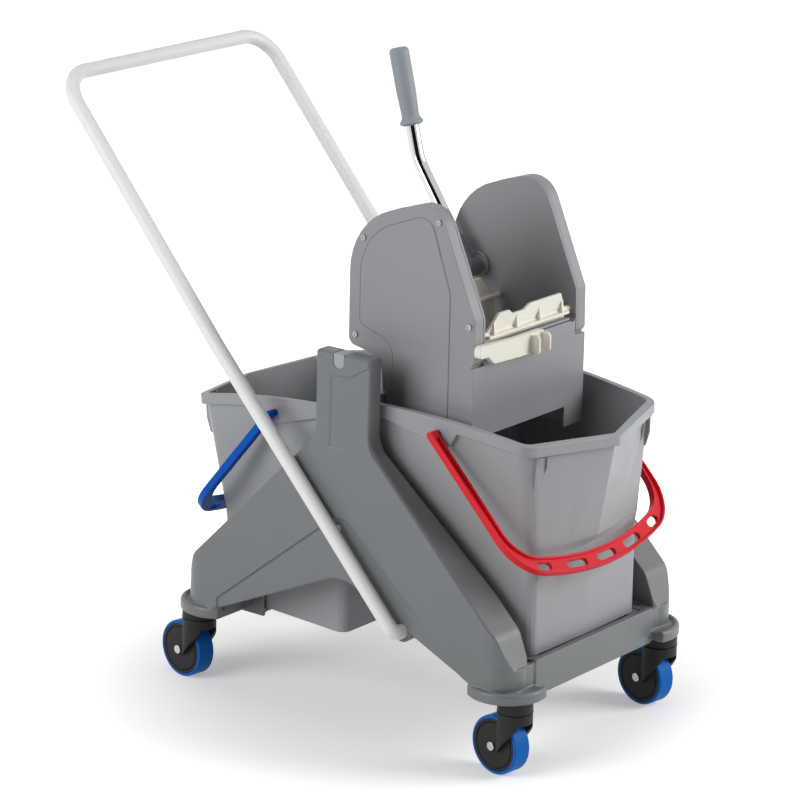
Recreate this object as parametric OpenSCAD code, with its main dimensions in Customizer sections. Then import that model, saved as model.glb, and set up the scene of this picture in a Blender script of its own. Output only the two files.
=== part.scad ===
// Double mop bucket trolley with a lever wringer.
// +X points to the bucket under the wringer, +Z is up.
// The origin is on the floor, midway between the four casters.

/* [Chassis] */
// Distance between the front and rear caster swivel axes
wheelbase = 541; // [500:1:600]
// Width over the outer faces of the two side frames
frame_w = 394; // [390:1:404]
// Distance of the caster swivel axes inside the outer faces of the side frames
caster_in = 31.5; // [25:0.5:34]
// Thickness of a side frame
frame_t = 25; // [22:1:26]
// Wall thickness of the side frame moulding
frame_skin = 4; // [3:0.5:6]
// Height of the towers above the floor
tower_top = 524; // [505:1:545]
// Width of a tower
tower_w = 90; // [80:1:104]
// Height of the arch between the legs
arch_top = 212; // [190:1:225]
// Height of the underside of the feet
sole_z = 107; // [104:0.5:112]
// Radius of the bumper disc over each caster
bumper_r = 54; // [50:1:58]
// Thickness of the bumper disc
bumper_t = 13; // [10:1:15]
// Height of the front and rear crossbars
crossbar_h = 50; // [40:1:55]
// Wall thickness of the crossbars
crossbar_t = 5; // [4:0.5:7]

/* [Push handle] */
// Outer diameter of the handle tube
handle_d = 20; // [18:0.5:22]
// Wall thickness of the handle tube
handle_wall = 1.5; // [1:0.25:2.5]
// Height of the middle of the push bar
handle_z = 825; // [780:5:880]
// Distance of the push bar behind the middle of the trolley
handle_back = 482; // [450:2:520]
// Distance from the faces of the side frames to the middles of the handle legs
handle_gap = 13; // [12:0.5:18]
// Bend radius of the top corners
handle_bend = 45; // [36:1:60]

/* [Casters] */
// Diameter of the wheels
wheel_d = 80; // [76:1:82]
// Width of the tyres
tyre_w = 27; // [24:0.5:30]
// Radial thickness of the tyres
tyre_t = 4; // [3.5:0.5:6]
// Distance of the axle behind the swivel axis
caster_trail = 24; // [20:1:28]
// Diameter of the swivel drum
drum_d = 47; // [44:1:50]
// Angle at which the casters stand
caster_turn = 8; // [0:1:20]
// Diameter of the swivel pin
kingpin_d = 11; // [9:0.5:12]
// Diameter of the wheel axle
axle_d = 8; // [6:0.5:9]

/* [Buckets] */
// Height of the rim of the bucket under the wringer
rim_z = 457.5; // [452:0.5:464]
// Length of a rim from the inner end to the outer corners
rim_l = 264; // [256:1:266]
// Length of the second bucket's rim from the inner end to the outer corners
second_rim_l = 276; // [266:1:280]
// Gap between a rim and the towers
rim_gap = 5; // [3:0.5:9]
// How much narrower a rim is on each side at the outer end
rim_taper = 21; // [17:0.5:24]
// How far the pouring lip stands out beyond the corners
lip_out = 41; // [34:1:46]
// How far the rim drops towards the pouring lip
lip_drop = 25; // [18:1:32]
// Depth of a bucket at the inner end
bucket_h = 328; // [322:1:334]
// Rise of the bucket floor towards the lip in degrees
floor_rise = 5.3; // [4.8:0.1:5.8]
// Wall thickness of a bucket
bucket_wall = 3; // [2.5:0.25:4]
// How far the rim stands out from the wall
rim_out = 6; // [5:0.5:8]
// Height of the rim band
rim_band = 14; // [12:0.5:16]
// Depth of the skirt at the bail pivots
skirt_h = 34; // [31:0.5:38]
// Tilt of the second bucket in degrees
second_tilt = 4.3; // [3:0.1:5]

/* [Bails] */
// Distance of the bail pivots from the inner end of the rim
bail_x = 127.5; // [122:0.5:134]
// Depth of the bail pivots below the rim
bail_drop = 22; // [20:0.5:24]
// Length of a bail from its pivots to the middle of its grip
bail_reach = 234; // [230:1:244]
// Width of the arms of a bail
bail_arm_w = 13; // [11:0.5:14]
// Width of the grip of a bail
bail_grip_w = 24; // [20:1:26]
// Thickness of a bail
bail_t = 10; // [8:0.5:12]
// Angle at which a bail hangs below its rim
bail_hang = 46; // [42:1:48]
// Diameter of the bail pivot studs
bail_stud_d = 8; // [7:0.5:9]

/* [Wringer] */
// Distance of the side covers inside the edge of the bucket rim
wringer_gap = 43; // [40:0.5:46]
// Distance from the outside of a side cover to the press throat
cover_depth = 24; // [22:0.5:27]
// Wall thickness of the wringer body
body_wall = 4; // [3:0.5:5]
// Wall thickness of the side covers
cover_skin = 3; // [2:0.5:4]
// Height of the underside of the wringer body
wringer_foot_z = 395; // [390:1:405]
// Distance of the front wall from the middle of the trolley
wringer_front = 157; // [152:1:162]
// Height of the top edge of the front wall
front_top = 546; // [540:1:547]
// Height of the drain opening in the front wall
drain_top = 423; // [412:1:440]
// Diameter of the cross shaft
shaft_d = 14; // [12:0.5:16]
// Diameter of the jaw pins
jaw_pin_d = 8; // [7:0.5:9]
// Height of a jaw plate below its pins
jaw_depth = 92; // [80:1:100]
// Height of a jaw lip above its pins
jaw_lip = 28; // [24:1:32]
// Thickness of the jaw plates
jaw_t = 4; // [3:0.5:5]

/* [Lever] */
// Outer diameter of the lever tube
lever_d = 19; // [17:0.5:20]
// Wall thickness of the lever tube
lever_wall = 1.5; // [1:0.25:2.5]
// Distance of the lever from the side of the press throat
lever_gap = 24; // [23:0.5:30]
// Length of the lever from the shaft to its bend
lever_low = 162; // [150:1:175]
// Length of the lever from its bend to the top of the grip
lever_high = 153; // [145:1:170]
// Lean of the lower lever in degrees
lever_lean = 34; // [30:0.5:38]
// Lean of the upper lever in degrees
lever_top_lean = 14.4; // [12:0.2:20]
// Length of the grip
grip_l = 106; // [96:1:116]
// Diameter of the grip
grip_d = 27; // [25:0.5:30]

/* [Hidden] */
$fn = 48;

// Fits: a running fit, a fixed fit and a face-to-face seat
run_gap = 0.05;
fix_gap = 0.02;
seat_gap = 0.3;
// Straight tube runs reach into the bends by lap, and the bends are thicker by bend_step
lap = 2;
bend_step = 0.4;

frame_grey = "#6E7275";
bucket_grey = "#989B9E";
wringer_grey = "#929397";
tube_white = "#DEDEDE";
caster_black = "#37393B";
tyre_blue = "#1F62B8";
bail_red = "#DF2434";
bail_blue = "#1D56AE";
jaw_ivory = "#EFEBDF";
insert_grey = "#A3A6A9";
grip_grey = "#8C9399";
chrome = "#C9CCD0";
zinc = "#B9BDC2";
steel_dark = "#3B3D40";

// Chassis places
frame_y = frame_w / 2;
inner_y = frame_y - frame_t;
caster_x = wheelbase / 2;
caster_y = frame_y - caster_in;
rim_half_in = inner_y - rim_gap;
rim_half_out = rim_half_in - rim_taper;
wringer_half = rim_half_in - wringer_gap;
throat_half = wringer_half - cover_depth;
lever_y = throat_half - lever_gap;
leg_slope = 1;
leg_base = 451.5;
leg_inner_y = frame_y - 54;
edge_round = 5;
arch_slope = 0.454;
arch_peak = arch_top + 8.5;
tower_foot_z = leg_base - leg_slope * tower_w / 2;
foot_r = 34;
foot_x = caster_x - 26.5;
foot_y = frame_y - foot_r;
foot_top = 150;
bumper_x = caster_x - 24.5;
bumper_y = caster_y - 14.5;
bumper_end = bumper_x - 33;
crossbar_x = foot_x + foot_r;
crossbar_deep = 10;
crossbar_low = sole_z - 4;
arch_foot_x = min(crossbar_x - 6, (arch_peak - sole_z) / arch_slope);
recess_depth = 3;
recess_top = arch_top + 96;
recess_fall = [0.87, 0.79];

// Handle line: push bar corner, slight knee, then the tail that turns into the side frame
knee_x = -205;
knee_z = 503;
tail_x = 104;
tail_z = 168;
peg_x = -5;
peg_z = knee_z - (peg_x - knee_x) * (knee_z - tail_z) / (tail_x - knee_x);
peg_d = 10;
tail_bend = handle_gap - 0.5;
tail_depth = 19;
lug_r = handle_d / 2 + 5;
handle_y = frame_y + handle_gap;

// Caster heights
axle_z = wheel_d / 2;
fork_top = sole_z - 16;
drum_low = wheel_d + 1;
fork_low = fork_top - 13.5;
fork_arm_t = 2.5;
fork_in = tyre_w / 2 + 1.5;
hub_r = wheel_d / 2 - tyre_t;

// Bucket frame: origin at the top of the inner end of the rim, +X to the lip
sag_from = 39;
floor_in = 50;
floor_out = 260;
facet_half_out = rim_half_out - 24;
wall_corner_r = 14;
floor_half_in = rim_half_in - 39;
floor_half_out = rim_half_out - 27;
cheek_y = floor_half_out + 6;
crossbar_half = cheek_y + 8;
facet_z = -bucket_h / 2 - 2.5;
facet_step = 15;
facet_out = 17;
flat_out = 3;
rim_corner_r = 24;
lip_r = 12;
rim_flat = 10;
second_x = -20;
second_z = rim_z - 17.8;
pivot_z = -bail_drop;
station_x = [45, 80, bail_x - 13, bail_x + 13, bail_x + 23];

// Bail plan, measured from the pivots
bail_half = rim_half_in + 1;
bow_r = 450;
bow_x = bail_reach - bow_r;
bail_fillet = 60;
fillet_x = bow_x + sqrt(pow(bow_r - bail_fillet, 2) - pow(bail_half - bail_fillet, 2));
fillet_turn = atan2(bail_half - bail_fillet, fillet_x - bow_x);

// Wringer places
wall_y = throat_half + body_wall;
shaft_x = -3;
shaft_z = 589;
front_pin = [wringer_front - 11, front_top + 9];
rear_pin = [30, 552];
body_rear = 22;
shoulder_z = 527;
rear_low_z = 516;
crank_pin_d = 6;
crank_r = 11;
crank_rest = 32.5;
rear_arm_r = 39.6;
rear_arm_angle = 27.4;
front_arm_r = 33.6;
front_arm_angle = -110.3;
arm_t = 4;
link_t = 3;
layer_gap = 1;
crank_y = wall_y + layer_gap;
rear_link_y = crank_y + arm_t + layer_gap;
front_link_y = rear_link_y + link_t + layer_gap;
arm_w = 12;
open_gap_rear = 1;
open_gap_front = 1.8;
boss_r = 5;
screw_d = 4;
screw_places = [[-27, 663], [96, 703], [-38, 530], [149, 574]];
bush_r = 17.5;
bush_step_r = 13;
bush_hub_r = 10;
bush_flange = 6;
bush_step = 4;
hook_t = 6;
hub_r_lever = 14;
hub_w = 2 * (throat_half - bush_flange - bush_step - 1 - lever_y);
lever_bend_r = 60;
latch_z = 536;

function unit(v) = v / norm(v);
function along(c, r, a) = c + r * [cos(a), sin(a)];

// Arc that rounds the corner p between its neighbours a and b
function corner(a, p, b, r, n) =
    let (u = unit(a - p), w = unit(b - p), half = acos(u * w) / 2)
    let (c = p + unit(u + w) * r / sin(half), s = p + u * r / tan(half) - c)
    let (turn = (cross(u, w) < 0 ? 1 : -1) * (180 - 2 * half))
    [for (i = [0 : n]) let (k = turn * i / n) c + [s.x * cos(k) - s.y * sin(k), s.x * sin(k) + s.y * cos(k)]];

// Polygon whose vertices are [x, y, radius]
function rounded(v, n = 6) =
    let (m = len(v), p = [for (q = v) [q.x, q.y]])
    [for (i = [0 : m - 1]) each corner(p[(i + m - 1) % m], p[i], p[(i + 1) % m], v[i].z, n)];

// A shape drawn in X and Z, standing between y0 and y1
module slab(y0, y1) {
    translate([0, y1, 0]) rotate([90, 0, 0]) linear_extrude(y1 - y0) children();
}

// Round bar between two points
module bar(p, q, d) {
    v = q - p;
    translate(p) rotate([0, acos(v.z / norm(v)), atan2(v.y, v.x)]) cylinder(h = norm(v), d = d);
}

// Round bar along Y at [x, z]
module cross_bar(at, y0, y1, d) {
    translate([at.x, y1, at.y]) rotate([90, 0, 0]) cylinder(h = y1 - y0, d = d);
}

module far_side() {
    mirror([0, 1, 0]) children();
}

module both_sides() {
    children();
    far_side() children();
}

// Chassis

function leg_top(x) = leg_base - leg_slope * x;

half_outline = [
    [tower_w / 2, tower_top, 3], [tower_w / 2, tower_foot_z, 40],
    [foot_x + 14, leg_top(foot_x + 14), 30], [foot_x + foot_r, foot_top - 8, 12],
    [foot_x + foot_r, sole_z, 1], [arch_foot_x, sole_z, 1]
];
// Clockwise outline of a side frame in X and Z, each vertex with its radius
frame_outline = concat(
    half_outline,
    [[0, arch_peak, 60]],
    [for (i = [len(half_outline) - 1 : -1 : 0]) let (p = half_outline[i]) [-p.x, p.y, p.z]]
);

// Outline moved inwards by d on every side; convex radii shrink and concave ones grow
function inset(v, d) =
    let (m = len(v), p = [for (q = v) [q.x, q.y]])
    [for (i = [0 : m - 1])
        let (u = unit(p[i] - p[(i + m - 1) % m]), w = unit(p[(i + 1) % m] - p[i]))
        let (nu = [u.y, -u.x], nw = [w.y, -w.x], q = p[i] + (nu + nw) * d / (1 + nu * nw))
        [q.x, q.y, max(0.5, v[i].z + (cross(u, w) < 0 ? -d : d))]];

module frame_shape(d = 0) {
    polygon(rounded(inset(frame_outline, d)));
}

// Solid side frame with its rounded outer edge
module frame_blank() {
    layers = [[-frame_y, edge_round * 0.62], [-frame_y + edge_round * 0.3, edge_round * 0.26],
        [-frame_y + edge_round, 0], [-leg_inner_y, 0]];
    rings = [for (k = layers) [for (q = rounded(inset(frame_outline, k.y))) [q.x, k.x, q.y]]];
    n = len(rings[0]);
    last = len(rings) - 1;
    centre_z = (arch_top + tower_foot_z) / 2;
    centres = [[0, layers[0].x, centre_z], [0, layers[last].x, centre_z]];
    polyhedron(points = concat([for (r = rings) each r], centres), faces = concat(
        [for (j = [0 : last - 1]) for (i = [0 : n - 1]) let (k = (i + 1) % n)
            each [[j * n + i, (j + 1) * n + i, (j + 1) * n + k], [j * n + i, (j + 1) * n + k, j * n + k]]],
        [for (i = [0 : n - 1]) let (k = (i + 1) % n)
            each [[(last + 1) * n, i, k], [(last + 1) * n + 1, last * n + k, last * n + i]]]));
}

// Plan of a side frame with its rounded ends
module frame_plan() {
    taper_x = tower_w / 2 + 12;
    wide_x = foot_x - 32;
    polygon([[-foot_x, -frame_y], [foot_x, -frame_y], [foot_x, -leg_inner_y], [wide_x, -leg_inner_y - 1],
        [taper_x, -inner_y], [-taper_x, -inner_y], [-wide_x, -leg_inner_y - 1], [-foot_x, -leg_inner_y]]);
    for (s = [1, -1]) translate([s * foot_x, -foot_y]) intersection() {
        circle(r = foot_r - 0.5);
        translate([-foot_r, -foot_r]) square([2 * foot_r, foot_r + foot_y - leg_inner_y]);
    }
}

// The hollow behind the outer skin, which stops short of the feet
module frame_pocket() {
    intersection() {
        frame_shape(frame_skin);
        translate([-foot_x + foot_r, 0]) square([2 * (foot_x - foot_r), tower_top]);
    }
}

// Lower panel of the legs, set back below the push handle
module recess_shape() {
    front_low = recess_top - recess_fall[0] * bumper_end;
    rear_low = recess_top - recess_fall[1] * bumper_end;
    polygon(rounded([[0, recess_top, 25], [bumper_end, front_low, 1], [bumper_end, 0, 1], [-bumper_end, 0, 1],
        [-bumper_end, rear_low, 1]]));
}

facet_lean = 0.9;
groove_depth = 1.2;
insert_x = -6.8;

// Face of a tower below the two slanting creases under its top
module tower_facet() {
    half = tower_w / 2;
    polygon([[-half - 1, tower_top - 9], [-18, tower_top - 31], [12, tower_top - 28],
        [half + 1, tower_top - 8], [half + 1, tower_foot_z - 26], [-half - 1, tower_foot_z - 26]]);
}

module tower_groove() {
    half = 15.5;
    low = tower_foot_z - 12;
    high = tower_top - 29;
    translate([insert_x + 1.8, 0])
        polygon([[-half, high], [0, high - 8], [half, high], [half, low], [-half, low]]);
}

module insert_shape() {
    translate([insert_x, 0]) polygon(rounded([[-8.5, tower_top + 1, 0.5], [-8.5, tower_top - 20, 8],
        [8.5, tower_top - 20, 8], [8.5, tower_top + 1, 0.5]]));
}

insert_depth = frame_t - 1;

// Foot over one caster: a rounded block for the kingpin and the crossbar, and the bumper disc
module foot() {
    translate([crossbar_x - crossbar_deep, -foot_y, sole_z])
        cube([crossbar_deep - 2, foot_y - crossbar_half, foot_top - sole_z]);
    intersection() {
        union() {
            translate([foot_x, -foot_y, sole_z]) cylinder(h = foot_top - sole_z, r = foot_r);
            translate([bumper_x, -bumper_y, sole_z]) bumper();
        }
        translate([bumper_end, -frame_w, 0]) cube([wheelbase, frame_w - crossbar_half, tower_top]);
    }
}

module bumper() {
    rotate_extrude($fn = 72) translate([bumper_r, bumper_t])
        polygon([[-bumper_r, -bumper_t], [-1.5, -bumper_t], [0, 1.5 - bumper_t], [0, -1], [-1.5, 2], [-4, 3],
            [-7, 2], [-9, -1], [-bumper_r, -1]]);
}

module side_frame() {
    color(frame_grey) difference() {
        union() {
            difference() {
                intersection() {
                    frame_blank();
                    linear_extrude(tower_top + 1) frame_plan();
                }
                slab(-frame_y + frame_skin + recess_depth, -leg_inner_y + 1) frame_pocket();
            }
            foot();
            mirror([1, 0, 0]) foot();
            cross_bar([tail_x, tail_z], -frame_y, -inner_y, 2 * lug_r);
            cross_bar([peg_x, peg_z], -frame_y + recess_depth, -inner_y, 2 * peg_d);
        }
        slab(-frame_y - 1, -frame_y + recess_depth) recess_shape();
        translate([0, -frame_y, tower_foot_z - 26]) rotate([-facet_lean, 0, 0])
            translate([0, 0, 26 - tower_foot_z]) {
                slab(-frame_skin, 0) tower_facet();
                slab(-frame_skin, groove_depth) tower_groove();
            }
        translate([insert_x - 3.7, -frame_y - 1, tower_top - 69]) cube([7.4, frame_skin + 1.5, 2]);
        slab(-frame_y - 1, -frame_y + insert_depth) insert_shape();
        cross_bar([tail_x, tail_z], -frame_y - 1, -frame_y + tail_depth, handle_d + 2 * fix_gap);
        cross_bar([peg_x, peg_z], -frame_y - 1, -frame_y + recess_depth + 8, peg_d + 2 * fix_gap);
        for (s = [1, -1]) translate([s * caster_x, -caster_y, sole_z - 1])
            cylinder(h = 41, d = kingpin_d + 2 * fix_gap);
    }
}

module tower_insert() {
    color(insert_grey) slab(-frame_y + 1, -frame_y + insert_depth) intersection() {
        offset(delta = -fix_gap) insert_shape();
        translate([-tower_w, 0]) square([2 * tower_w, tower_top - 0.5]);
    }
}

// Crossbar between two feet
module crossbar() {
    translate([crossbar_x - crossbar_t, -crossbar_half, crossbar_low])
        cube([crossbar_t, 2 * crossbar_half, crossbar_h]);
    translate([crossbar_x - crossbar_deep, -crossbar_half, crossbar_low + crossbar_h - crossbar_t])
        cube([crossbar_deep, 2 * crossbar_half, crossbar_t]);
}

shelf_l = 70;
shelf_w = 24;

// Shelf under the outer end of a bucket floor, drawn in the bucket's frame
module shelf() {
    translate([floor_in, -cheek_y - 1, -bucket_h]) rotate([0, -floor_rise, 0])
        translate([floor_out - floor_in - shelf_l, 0, -seat_gap - crossbar_t])
            cube([shelf_l, shelf_w, crossbar_t]);
}

// Plate that carries a shelf on the crossbar, from the height low to the crossbar's flange
module cheek(low) {
    flange = crossbar_low + crossbar_h - crossbar_t / 2;
    foot_of = min(low, flange - 5 * crossbar_t);
    translate([crossbar_x - crossbar_t / 2 - cheek_l, -cheek_y - crossbar_t, foot_of])
        cube([cheek_l, crossbar_t, max(flange, low + 2 * crossbar_t) - foot_of]);
}

cheek_l = 90;

module front_crossbar() {
    color(frame_grey) {
        crossbar();
        both_sides() {
            cheek(rim_z - bucket_h - 2);
            place_first() shelf();
        }
    }
}

module rear_crossbar() {
    color(frame_grey) {
        mirror([1, 0, 0]) crossbar();
        both_sides() {
            mirror([1, 0, 0]) cheek(rim_z - bucket_h - 28.5);
            place_second() shelf();
        }
    }
}

bridge_deep = 42;

// Bridge between the towers, stepped for the inner rims of the two buckets
module tower_bridge() {
    first_top = rim_z - rim_band - seat_gap;
    second_top = second_z - rim_band - 1;
    low = second_top - bridge_deep;
    mid = second_x / 2;
    start = second_x - rim_out + 1.5;
    end = rim_out - 1;
    color(frame_grey) difference() {
        union() {
            translate([start, -inner_y, low]) cube([end - start, 2 * inner_y, second_top - low]);
            translate([mid, -inner_y, low]) cube([end - mid, 2 * inner_y, first_top - low]);
        }
        translate([start + crossbar_t, -inner_y + crossbar_t, low - 1])
            cube([end - start - 2 * crossbar_t, 2 * (inner_y - crossbar_t),
                second_top - crossbar_t - low + 1]);
    }
}

// Push handle

upper_run = norm([knee_x + handle_back, knee_z - handle_z]);
lower_run = norm([tail_x - knee_x, tail_z - knee_z]);
upper_turn = atan2(handle_z - knee_z, knee_x + handle_back);
lower_turn = atan2(knee_z - tail_z, tail_x - knee_x);

// Quarter bend in the XY plane, from the direction +X to the direction +Y
module quarter_bend(r, d) {
    translate([0, r, 0]) rotate([0, 0, -90]) rotate_extrude(angle = 90) translate([r, 0]) circle(d = d);
}

// Line of the handle with the diameter d, whose tails run on by extra
module handle_line(d, extra = 0) {
    translate([-handle_back, 0, handle_z]) rotate([0, upper_turn, 0]) {
        bar([0, -handle_y + handle_bend - lap, 0], [0, handle_y - handle_bend + lap, 0], d);
        both_sides() {
            translate([handle_bend, -handle_y, 0]) mirror([1, 0, 0]) quarter_bend(handle_bend, d + bend_step);
            bar([handle_bend - lap, -handle_y, 0], [upper_run - 1, -handle_y, 0], d);
        }
    }
    both_sides() translate([knee_x, -handle_y, knee_z]) {
        sphere(d = d + bend_step);
        rotate([0, lower_turn, 0]) {
            bar([1, 0, 0], [lower_run - tail_bend + lap, 0, 0], d);
            translate([lower_run - tail_bend, 0, 0]) quarter_bend(tail_bend, d + bend_step);
            bar([lower_run, tail_bend - lap, 0], [lower_run, handle_gap + tail_depth - 1 + extra, 0], d);
        }
    }
}

module push_handle() {
    color(tube_white) difference() {
        handle_line(handle_d);
        handle_line(handle_d - 2 * handle_wall, 1);
    }
}

// Spacers between the handle legs and the side frames
module handle_pegs() {
    color(tube_white) both_sides() difference() {
        cross_bar([peg_x, peg_z], -handle_y, -frame_y + recess_depth + 7, peg_d);
        translate([knee_x, -handle_y, knee_z]) rotate([0, lower_turn, 0])
            bar([0, 0, 0], [lower_run, 0, 0], handle_d + 2 * fix_gap);
    }
}

// Casters

CORNERS = [["nf", 1, -1], ["ff", 1, 1], ["nr", -1, -1], ["fr", -1, 1]];

module at_corner(c) {
    translate([c[1] * caster_x, c[2] * caster_y, 0]) rotate([0, 0, -caster_turn]) children();
}

module at_wheel(c) {
    at_corner(c) translate([-caster_trail, 0, axle_z]) rotate([90, 0, 0]) children();
}

module caster_stem(c) {
    color(caster_black) at_corner(c) {
        translate([0, 0, fork_top + run_gap]) cylinder(h = 1, d1 = drum_d - 2, d2 = drum_d);
        translate([0, 0, fork_top + 1]) cylinder(h = sole_z - fork_top - 1, d = drum_d);
        translate([0, 0, drum_low + 3]) cylinder(h = sole_z + 38 - drum_low - 3, d = kingpin_d);
    }
}

// The drum runs down on both sides of the wheel and is cut off aslant from the tip to the front
module fork_side_shape() {
    reach = drum_d / 2 + 1;
    polygon([[-reach, fork_top + 1], [-reach, axle_z - 9], [-caster_trail + 11, axle_z - 5],
        [reach - 2, fork_low], [reach, fork_low], [reach, fork_top + 1]]);
}

// Flat boss that holds the axle on one side
module fork_boss_shape() {
    translate([-caster_trail, axle_z]) circle(r = 9);
    polygon([[-caster_trail, axle_z - 9], [-caster_trail + 11, axle_z - 5], [-9, axle_z + 14],
        [-15, axle_z + 28], [-caster_trail - 8, axle_z + 4]]);
}

module caster_fork(c) {
    color(caster_black) at_corner(c) difference() {
        union() {
            intersection() {
                union() {
                    cylinder(h = fork_top - 1, d = drum_d);
                    translate([0, 0, fork_top - 1]) cylinder(h = 1, d1 = drum_d, d2 = drum_d - 2);
                }
                slab(-drum_d, drum_d) fork_side_shape();
            }
            both_sides() slab(-fork_in - fork_arm_t, -fork_in) fork_boss_shape();
        }
        translate([-drum_d, -fork_in, 0]) cube([drum_d + 14, 2 * fork_in, drum_low]);
        translate([0, -fork_in, 0]) cube([drum_d, 2 * fork_in, fork_low]);
        translate([0, 0, drum_low - 1]) cylinder(h = fork_top, d = kingpin_d + 2 * run_gap);
        translate([-caster_trail, fork_in + fork_arm_t + 1, axle_z]) rotate([90, 0, 0])
            cylinder(h = 2 * (fork_in + fork_arm_t + 1), d = axle_d + 2 * fix_gap);
    }
}

module caster_axle(c) {
    reach = fork_in + fork_arm_t;
    color(zinc) at_wheel(c) {
        translate([0, 0, -reach]) cylinder(h = 2 * reach, d = axle_d);
        for (s = [-1, 1]) translate([0, 0, s * (reach + 1.25)])
            cylinder(h = 2.5, d = axle_d + 4, center = true);
    }
}

module wheel_hub(c) {
    half = tyre_w / 2;
    bore = axle_d / 2 + run_gap;
    floor_y = half - 1.6;
    side = [[bore, half + 1], [9, half + 1], [9, half], [hub_r - 5.8, half], [hub_r - 5.4, floor_y],
        [hub_r - 4.4, floor_y], [hub_r - 4, half], [hub_r, half]];
    last = len(side) - 1;
    color(caster_black) at_wheel(c) rotate_extrude($fn = 64)
        polygon(concat([for (p = side) [p.x, -p.y]], [for (i = [last : -1 : 0]) side[i]]));
}

module tyre(c) {
    half = tyre_w / 2;
    r = wheel_d / 2;
    round_in = tyre_t * 0.6;
    color(tyre_blue) at_wheel(c) rotate_extrude($fn = 72) polygon(concat(
        [[hub_r + fix_gap, half], [hub_r + fix_gap, -half]],
        [for (a = [-90 : 15 : 0]) [r - round_in + round_in * cos(a), -half + round_in + round_in * sin(a)]],
        [for (a = [0 : 15 : 90]) [r - round_in + round_in * cos(a), half - round_in + round_in * sin(a)]]
    ));
}

// Buckets

module place_first() {
    translate([0, 0, rim_z]) children();
}

module place_second() {
    translate([second_x, 0, second_z]) rotate([0, -second_tilt, 0]) rotate([0, 0, 180]) children();
}

// Height of the rim top at x on a bucket of the length l, and of its floor
function sag(x, l) = -lip_drop * pow(max(0, x - sag_from) / (l + lip_out - sag_from), 2);
function floor_z(x) = -bucket_h + (x - floor_in) * tan(floor_rise);
function mix(a, b, t) = a + (b - a) * t;

// Shares of the way along the side, between the corner arcs, at which each ring has a point
function stations(l) = [for (x = concat(station_x, [l - 75, l - 42]))
    (x - rim_corner_r) / (l - 2 * rim_corner_r)];

// Plan ring of a bucket: x0 and w0 at the inner end, x1 and w1 at the outer corners, v to the lip
function ring(l, x0, w0, x1, w1, v, r) =
    let (a = [x0, -w0], b = [x1, -w1], c = [x1 + v, 0])
    let (p = corner([x0, w0], a, b, r, 4), q = corner(a, b, c, r, 4), e = corner(b, c, [x1, w1], lip_r, 2))
    let (near = concat(p, [for (t = stations(l)) mix(p[4], q[0], t)], q, [mix(q[4], e[0], 0.5), e[0]]))
    concat(near, [e[1]], [for (i = [len(near) - 1 : -1 : 0]) [near[i].x, -near[i].y]]);

// Ring of the wall at the depth share s from rim to floor, with the half width w at its outer end
function wall_ring(l, s, w, inset, v) = ring(l,
    mix(rim_out, floor_in, s) + inset, mix(rim_half_in - rim_out, floor_half_in, s) - inset,
    mix(l - rim_out, floor_out, s) - inset, w - inset, v, mix(rim_corner_r, wall_corner_r, s) - inset);

function rim_ring(l, inset) = ring(l, inset, rim_half_in - inset, l - inset, rim_half_out - inset, lip_out,
    rim_corner_r - inset);

// Depth of the band under the rim, deeper along the sides as far as the bail pivots
function band(p) = p.x < rim_corner_r || p.x > bail_x + 20 ? rim_band
    : mix(rim_band, skirt_h, min(1, (p.x - rim_corner_r) / (bail_x - 13 - rim_corner_r)));

function at_z(points, z) = [for (p = points) [p.x, p.y, z]];
function at_rim(points, l, drop) = [for (p = points) [p.x, p.y, sag(p.x, l) - drop]];
function at_floor(points, lift) = [for (p = points) [p.x, p.y, floor_z(p.x) + lift]];
function under_band(points, l) = [for (p = points) [p.x, p.y, sag(p.x, l) - band(p)]];

function bucket_rings(l) = [
    at_floor(wall_ring(l, 1, floor_half_out, 0, flat_out), 0),
    at_z(wall_ring(l, 0.55, facet_half_out - 1, 0, flat_out), facet_z - facet_step),
    at_z(wall_ring(l, 0.5, facet_half_out, 0, facet_out), facet_z),
    [let (w = wall_ring(l, 0, rim_half_out - rim_out, 0, lip_out - 2), o = under_band(rim_ring(l, 0), l))
        for (i = [0 : len(w) - 1]) [w[i].x, w[i].y, o[i].z]],
    under_band(rim_ring(l, 0), l),
    at_rim(rim_ring(l, 0), l, 0),
    at_rim(rim_ring(l, rim_flat), l, 0),
    at_z(wall_ring(l, 0.5, facet_half_out, bucket_wall, facet_out), facet_z),
    at_z(wall_ring(l, 0.55, facet_half_out - 1, bucket_wall, flat_out), facet_z - facet_step),
    at_floor(wall_ring(l, 0.99, floor_half_out, bucket_wall, flat_out), bucket_wall)
];

module bucket_shell(l) {
    rings = bucket_rings(l);
    n = len(rings[0]);
    last = len(rings) - 1;
    walls = [for (j = [0 : last - 1]) for (i = [0 : n - 1]) let (k = (i + 1) % n)
        each [[j * n + i, (j + 1) * n + i, (j + 1) * n + k], [j * n + i, (j + 1) * n + k, j * n + k]]];
    polyhedron(points = [for (r = rings) each r], faces = concat(
        walls, [[for (i = [0 : n - 1]) i]], [[for (i = [n - 1 : -1 : 0]) last * n + i]]));
}

// Outer face of the side skirt at the bail pivots
function stud_y(l) = rim_half_in - (rim_half_in - rim_half_out) * bail_x / l;

// Pointed rib under the rim near an outer corner
module rim_rib(l, place, depth) {
    top = sag(l, l) - 2;
    low = top - rim_band - depth;
    slab(place - rim_half_out, place - rim_half_out + 3) polygon([[l - 5.5, top], [l + 5, top],
        [l + 5, low + depth * 0.5], [l - 1, low], [l - 5.5, low]]);
}

// Bucket with the stud bores of its bail and the ribs under the rim at the outer corners
module bucket(l) {
    color(bucket_grey) difference() {
        union() {
            bucket_shell(l);
            both_sides() {
                rim_rib(l, 22, 42);
                rim_rib(l, 36, 33);
            }
        }
        both_sides() cross_bar([bail_x, pivot_z], -stud_y(l) - 4, -stud_y(l) + 7, bail_stud_d + 2 * run_gap);
    }
}

module red_bucket() {
    place_first() bucket(rim_l);
}

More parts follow.
